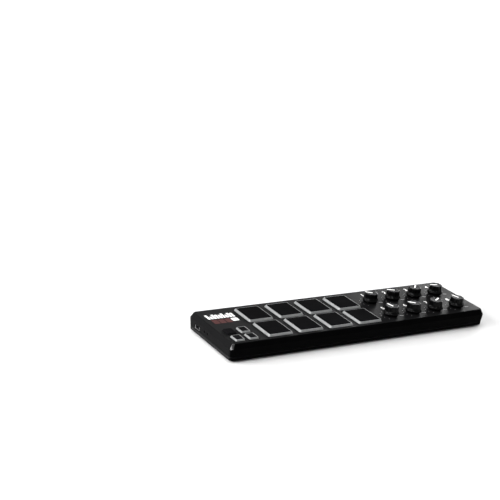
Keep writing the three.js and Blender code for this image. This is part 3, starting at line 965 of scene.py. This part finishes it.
def knob_pointer(number, sizes, finish, angle):
    """The white line inlaid in a knob's top."""
    _, high, centre = span(f"knob_{number}")
    outer = sizes.top - 0.12
    size = (outer + sizes.pointer_back, sizes.pointer_width)
    top = high.z + 0.05
    outline = [(0.1, top - 0.7), (0.0, top - 0.6), (0.0, top - 0.06), (0.1, top)]
    middle = ((outer - sizes.pointer_back) / 2, 0.0)
    piece = stack(f"pointer_{number}", size, middle, outline, (0.3, 0, 0), finish, 4)
    there = Matrix.Translation(Vector((centre.x, centre.y, 0.0)) * MM)
    piece.data.transform(there @ Matrix.Rotation(angle, 4, "Z"))
    smooth(piece, 40)
    fit(piece, f"knob_unit_{number}")


class CONTROLLER_OT_knobs(bpy.types.Operator):
    """Turn the eight fluted knobs and inlay their white pointers"""

    bl_idname = "controller.knobs"
    bl_label = "Knobs"

    def execute(self, context):
        sizes = in_mm(context.scene.controller_knobs)
        gloss = gloss_finish("knob_gloss", sizes.body_colour, 0.055)
        face = rubber_finish("knob_face", sizes.face_colour, (0.5, 0.62), 0.02, 2400.0)
        white = ink_finish("pointer_white", context.scene.controller_prints.white)
        recipe = turned_recipe()
        angles = pointer_angles()
        for number in KNOBS:
            knob_body(number, sizes, recipe, gloss, face, angles[number])
            knob_pointer(number, sizes, white, angles[number])
        return {"FINISHED"}


# ------------------------------------------------------------------ prints
def digit(text, name, height, place, thickness, finish):
    """One printed number, centred on a place on the panel."""
    curve = bpy.data.curves.new(name + "_text", "FONT")
    curve.body = text
    curve.size = 1.0
    curve.offset = 0.022
    curve.resolution_u = 5
    writing = piece_from_mesh(name + "_text", curve)
    mesh = evaluated_mesh(writing)
    bpy.data.objects.remove(writing)
    shape = bmesh.new()
    shape.from_mesh(mesh)
    bpy.data.meshes.remove(mesh)
    bmesh.ops.remove_doubles(shape, verts=shape.verts, dist=1e-5)
    xs = [vertex.co.x for vertex in shape.verts]
    ys = [vertex.co.y for vertex in shape.verts]
    middle = Vector(((min(xs) + max(xs)) / 2, (min(ys) + max(ys)) / 2, 0.0))
    scale = height / (max(ys) - min(ys))
    for vertex in shape.verts:
        vertex.co = (vertex.co - middle) * scale + Vector((*place, PANEL_TOP - thickness))
    raised = bmesh.ops.extrude_face_region(shape, geom=list(shape.faces))
    for item in raised["geom"]:
        if isinstance(item, bmesh.types.BMVert):
            item.co.z = PANEL_TOP + thickness
    fit(piece_from_bmesh(name, shape, finish), "case")


def bar_row(recipe, name, corner, size, bars, ink, finish):
    """Prints a row of bars from its front left corner, in millimetres.

    bars is their number, each one's share of its pitch and the lowest one's share of the depth.
    """
    count, share, lowest = bars
    pitch = size[0] / (count - (1 - share))
    bar = Vector((pitch * share, size[1], 0.0)) * MM
    row = recipe.make(
        name, [(corner[0] * MM, corner[1] * MM, PANEL_TOP)], count=count,
        size=bar + Vector((0.0, 0.0, ink)), middle=bar / 2, step=(pitch * MM, 0.0, 0.0),
        lowest_share=lowest, finish=finish.material,
    )
    fit(row, "case")


class CONTROLLER_OT_prints(bpy.types.Operator):
    """Print the dots, ticks and numbers round the knobs and the marks at the back left"""

    bl_idname = "controller.prints"
    bl_label = "Printed marks"

    def execute(self, context):
        sizes = context.scene.controller_prints
        white = ink_finish("white_ink", sizes.white)
        grey = ink_finish("grey_ink", sizes.grey)
        red = ink_finish("red_ink", sizes.red)
        centres = {number: span(f"knob_{number}")[2] * MM for number in KNOBS}
        ink = 2 * sizes.thickness
        marks = {name: getattr(sizes, name) for name in PrintSettings.__annotations__}
        marks.update(thickness=ink, finish=grey.material)
        places = [(centre.x, centre.y, PANEL_TOP) for centre in centres.values()]
        dials = dial_recipe().make("dial_marks", places, **marks)
        fit(dials, "case")
        for number, centre in centres.items():
            place = (centre.x + sizes.digit_x, centre.y + sizes.digit_y)
            digit(
                str(number), f"number_{number}", sizes.digit_height, place, sizes.thickness, white,
            )
        left = span("top_cover")[0].x
        row = row_recipe()
        levels, blocks = (sizes.bars, 0.72, 0.55), (sizes.blocks, 0.86, 1.0)
        bar_row(row, "level_bars", (left + 8.6, 17.6), (30.0, 10.2), levels, ink, white)
        bar_row(row, "red_blocks", (left + 9.6, 6.2), (20.4, 9.2), blocks, ink, red)
        proud = sizes.thickness / MM
        outline = [(0.0, PANEL - proud), (0.0, PANEL + proud)]
        corners = (1.2, 0, 0)
        square = stack("white_square", (7.2, 6.8), (left + 34.5, 11.5), outline, corners, white, 5)
        fit(square, "case")
        return {"FINISHED"}


# ------------------------------------------------------------------ socket
def upright_rings(size, centre, corner, outline, steps):
    """Rounded rings that stand across the case, each (shrink, x), in millimetres."""
    rings = []
    for shrink, x in outline:
        flat = rounded_ring(size[0] - shrink, size[1] - shrink, corner, 0.0, (0, 0), steps)
        rings.append([Vector((x, centre.y + p.x, centre.z + p.y)) for p in flat])
    return rings


def socket_shell(sizes, steel, black):
    """The metal shell, black inside."""
    low, high, centre = span("usb_shell")
    width, height = high.y - low.y, high.z - low.z
    wall = 2 * sizes.shell_wall
    front, back = low.x - 0.45, high.x
    lip = 0.25
    outline = [
        (wall, back - 0.5), (wall, front + 0.6), (wall - 0.1, front + lip), (wall * 0.5, front),
        (0.1, front + 0.08), (0.0, front + lip), (0.0, back - 0.1), (0.2, back),
    ]
    shape = bmesh.new()
    loft(shape, upright_rings((width, height), centre, 0.8, outline, 5))
    for face in shape.faces:
        middle = face.calc_center_median() / MM
        across = max(
            abs(middle.y - centre.y) / (width / 2 - sizes.shell_wall),
            abs(middle.z - centre.z) / (height / 2 - sizes.shell_wall),
        )
        face.material_index = int(across < 1.01 and middle.x > front + 0.3)
    piece = piece_from_bmesh("socket_shell", shape, steel, black)
    smooth(piece, 40)
    fit(piece, "case", ["usb_shell"])


def socket_tongue(sizes, black, gold):
    """The plastic tongue and the contacts under it."""
    low, high, centre = span("usb_tongue")
    width = high.y - low.y
    outline = [(0.3, low.x), (0.0, low.x + 0.25), (0.0, high.x - 0.1), (0.1, high.x)]
    shape = bmesh.new()
    loft(shape, upright_rings((width, high.z - low.z), centre, 0.2, outline, 3))
    piece = piece_from_bmesh("socket_tongue", shape, black)
    smooth(piece, 40)
    fit(piece, "case", ["usb_tongue"])

    row_width = width * 0.72 * MM
    contacts = row_recipe().make(
        "socket_contacts", in_metres([(centre.x - 0.2, centre.y, low.z)]), count=sizes.contacts,
        size=Vector((4.6, 0.42, 0.16)) * MM, middle=(0.0, -row_width / 2, 0.0),
        step=(0.0, row_width / (sizes.contacts - 1), 0.0), lowest_share=1.0, finish=gold.material,
    )
    fit(contacts, "case")


class CONTROLLER_OT_socket(bpy.types.Operator):
    """Press the socket's metal shell and mould its tongue with contacts"""

    bl_idname = "controller.socket"
    bl_label = "Socket"

    def execute(self, context):
        sizes = in_mm(context.scene.controller_fixings)
        steel = metal_finish("socket_steel", sizes.steel)
        black = rubber_finish("socket_plastic", (0.012, 0.012, 0.013), (0.35, 0.5))
        gold = metal_finish("contact_gold", (0.62, 0.42, 0.14), (0.18, 0.3))
        socket_shell(sizes, steel, black)
        socket_tongue(sizes, black, gold)
        return {"FINISHED"}


# ------------------------------------------------------------------ fixings
def spread_out(name, profile, sides, nodes, finish, recess=None):
    """Turns one part and copies it to the middle of every node it stands for."""
    pattern = turned_recipe().make(
        name + "_pattern", turned_points(profile), stations=len(profile), sides=sides,
        body_finish=finish.material, face_finish=finish.material,
    )
    if recess:
        recess(pattern)
    points = []
    for node in nodes:
        middle = span(node)[2]
        points.append((middle.x, middle.y, 0.0))
    piece = set_out_recipe().make(name, in_metres(points), part=pattern, finish=finish.material)
    bpy.data.objects.remove(pattern)
    smooth(piece, 35)
    fit(piece, "case", nodes)


def make_feet(sizes, finish):
    """Round rubber feet with ring grooves underneath."""
    nodes = [f"foot_{number}" for number in FEET]
    low, high, _ = span(nodes[0])
    radius = (high.x - low.x) / 2
    bottom, top = low.z, high.z
    land = 0.78 * radius / sizes.foot_ribs
    profile = [(0.0, 0, bottom)]
    for rib in range(sizes.foot_ribs):
        inner = (rib + 0.55) * land + 0.1
        for step, rise in ((0.0, 0.0), (0.18, 0.3), (0.5, 0.3), (0.68, 0.0)):
            profile.append((inner + step, 0, bottom + rise))
    profile += [
        (radius - 0.55, 0, bottom), (radius - 0.2, 0, bottom + 0.12), (radius, 0, bottom + 0.5),
        (radius, 0, top - 0.1), (radius - 0.2, 0, top), (0.0, 0, top),
    ]
    spread_out("feet", profile, 56, nodes, finish)


def make_screws(sizes, finish):
    """Case screws with a cross recess and a coarse thread."""
    nodes = [f"case_screw_{number}" for number in SCREWS]
    low, high, _ = span(nodes[0])
    head = (high.x - low.x) / 2
    bottom, tip = low.z, high.z
    seat = bottom + 1.9
    shank, crest, threads = 1.3, 1.4, 11
    profile = [(step * 0.13, 0, bottom) for step in range(12)]
    profile += [
        (head - 0.8, 0, bottom + 0.02), (head - 0.35, 0, bottom + 0.2),
        (head - 0.08, 0, bottom + 0.5), (head, 0, bottom + 0.85), (head, 0, seat),
        (shank, 0, seat),
    ]
    pitch = (tip - 1.0 - seat) / threads
    for thread in range(threads):
        base = seat + thread * pitch
        for radius, share in ((shank - 0.15, 0.15), (crest, 0.5), (shank - 0.15, 0.85)):
            profile.append((radius, 0, base + pitch * share))
    profile += [(shank - 0.1, 0, tip - 1.0), (0.0, 0, tip)]

    def cross_recess(pattern):
        """Presses a cross into the head."""
        for vertex in pattern.data.vertices:
            place = vertex.co / MM
            long_way, short_way = sorted((abs(place.x), abs(place.y)), reverse=True)
            if place.z < bottom + 0.01 and long_way < sizes.recess and short_way < 0.34:
                vertex.co.z += 0.85 * MM * (1 - 0.45 * long_way / sizes.recess)

    spread_out("screws", profile, 40, nodes, finish, cross_recess)


class CONTROLLER_OT_fixings(bpy.types.Operator):
    """Set out the feet and the case screws"""

    bl_idname = "controller.fixings"
    bl_label = "Feet and screws"

    def execute(self, context):
        sizes = in_mm(context.scene.controller_fixings)
        make_feet(sizes, rubber_finish("foot_rubber", sizes.rubber, (0.6, 0.8), 0.25, 1900.0))
        make_screws(sizes, metal_finish("screw_plating", sizes.screw_colour, (0.3, 0.5)))
        return {"FINISHED"}


# ------------------------------------------------------------------ insides
class CONTROLLER_OT_insides(bpy.types.Operator):
    """Finish the boards, the potentiometers and their shafts"""

    bl_idname = "controller.insides"
    bl_label = "Insides"

    def execute(self, context):
        finishes = {
            board_finish("circuit_board"): ["pad_board", "knob_board"],
            metal_finish("pot_zinc", (0.42, 0.42, 0.43), (0.35, 0.55)): [
                f"pot_body_{number}"
                for number in KNOBS
            ],
            nylon_finish("shaft_nylon"): [f"pot_shaft_{number}" for number in KNOBS],
        }
        for finish, nodes in finishes.items():
            for node in nodes:
                for slot in frame["nodes"][node].material_slots:
                    slot.material = finish.material
        return {"FINISHED"}


# ------------------------------------------------------------------ stage
def lay_floor(sizes):
    half = sizes.floor_size / 2
    finish = Finish("pale_floor", sizes.floor_colour, 0.85, specular=0.15)
    patch = finish.noise(3.0, 3.0)
    finish.mottle(patch, 0.99, 1.01)
    mesh = bpy.data.meshes.new("floor")
    corners = [(-half, -half, 0), (half, -half, 0), (half, half, 0), (-half, half, 0)]
    mesh.from_pydata(corners, [], [(0, 1, 2, 3)])
    mesh.materials.append(finish.material)
    piece_from_mesh("floor", mesh)


def light_sky(context, sizes):
    world = bpy.data.worlds.new("studio_sky")
    world.use_nodes = True
    background = world.node_tree.nodes["Background"]
    background.inputs["Color"].default_value = (1.0, 1.0, 1.0, 1.0)
    background.inputs["Strength"].default_value = sizes.sky
    context.scene.world = world


def hang_light(name, kind, energy, place, target, **shape):
    """Hangs a light at a place and turns it towards a point."""
    data = bpy.data.lights.new(name, kind)
    data.energy = energy
    for key, value in shape.items():
        setattr(data, key, value)
    light = piece_from_mesh(name, data)
    light.location = place
    light.rotation_euler = (Vector(target) - light.location).to_track_quat("-Z", "Y").to_euler()
    return light


def softbox(name, direction, distance, width, height, power):
    """A soft rectangular lamp that faces the model."""
    place = Vector(direction).normalized() * distance
    shape = {"shape": "RECTANGLE", "size": width, "size_y": height}
    hang_light(name, "AREA", power, place, (0.0, 0.0, 0.015), **shape).visible_camera = False


def place_camera(context, sizes):
    data = bpy.data.cameras.new("camera")
    data.sensor_width = 36.0
    data.lens = sizes.lens
    data.clip_start = 0.05
    data.clip_end = 60.0
    # right, up, back and place, one row for each axis
    rows = (
        (0.854356, 0.081618, -0.51324, -0.7105), (-0.508255, 0.337251, -0.792426, -0.91115),
        (0.108414, 0.93787, 0.329615, 0.4743), (0.0, 0.0, 0.0, 1.0),
    )
    camera = piece_from_mesh("camera", data)
    camera.matrix_world = Matrix(rows)
    context.scene.camera = camera


class CONTROLLER_OT_stage(bpy.types.Operator):
    """Lay the pale floor and set the soft lights and the camera"""

    bl_idname = "controller.stage"
    bl_label = "Stage"

    def execute(self, context):
        sizes = context.scene.controller_stage
        lay_floor(sizes)
        light_sky(context, sizes)
        # name, direction from the model, distance, width, height, power
        for name, direction, distance, width, height, power in (
            ("left_softbox", (-0.90, 0.22, 0.42), 3.6, 3.0, 1.8, 212.0),
            ("right_back_softbox", (0.80, 0.58, 0.26), 5.0, 2.2, 1.4, 215.0),
            ("front_left_fill", (-0.82, -0.40, 0.40), 1.8, 0.14, 0.14, 9.0),
            ("high_front_lamp", (-0.23, -0.42, 0.88), 1.8, 0.07, 0.07, 5.0),
        ):
            softbox(name, direction, distance, width, height, power)
        high, spread = (-0.4, 0.3, 2.0), math.radians(50.0)
        hang_light("overhead_light", "SUN", sizes.overhead, high, (0.0, 0.0, 0.0), angle=spread)
        place_camera(context, sizes)
        context.scene.view_settings.view_transform = "Standard"
        return {"FINISHED"}


# ------------------------------------------------------------------ add-on
OPERATORS = (
    CONTROLLER_OT_case, CONTROLLER_OT_pads, CONTROLLER_OT_buttons, CONTROLLER_OT_knobs,
    CONTROLLER_OT_prints, CONTROLLER_OT_socket, CONTROLLER_OT_fixings, CONTROLLER_OT_insides,
    CONTROLLER_OT_stage,
)


class CONTROLLER_PT_maker(bpy.types.Panel):
    """Lists the pieces and their settings"""

    bl_label = "Pad Controller"
    bl_idname = "CONTROLLER_PT_maker"
    bl_space_type = "VIEW_3D"
    bl_region_type = "UI"
    bl_category = "Pad Controller"

    def draw(self, context):
        for operator in OPERATORS:
            self.layout.operator(operator.bl_idname)
        for name, group in SETTINGS.items():
            box = self.layout.box()
            box.label(text=group.__doc__)
            for field in group.__annotations__:
                box.prop(getattr(context.scene, name), field)


def register():
    for group in SETTINGS.values():
        bpy.utils.register_class(group)
    for name, group in SETTINGS.items():
        setattr(bpy.types.Scene, name, PointerProperty(type=group))
    for operator in OPERATORS:
        bpy.utils.register_class(operator)
    bpy.utils.register_class(CONTROLLER_PT_maker)


def unregister():
    bpy.utils.unregister_class(CONTROLLER_PT_maker)
    for operator in reversed(OPERATORS):
        bpy.utils.unregister_class(operator)
    for name, group in reversed(list(SETTINGS.items())):
        delattr(bpy.types.Scene, name)
        bpy.utils.unregister_class(group)


def main():
    register()
    for operator in OPERATORS:
        getattr(bpy.ops.controller, operator.bl_idname.split(".")[1])()


if __name__ == "__main__":
    main()
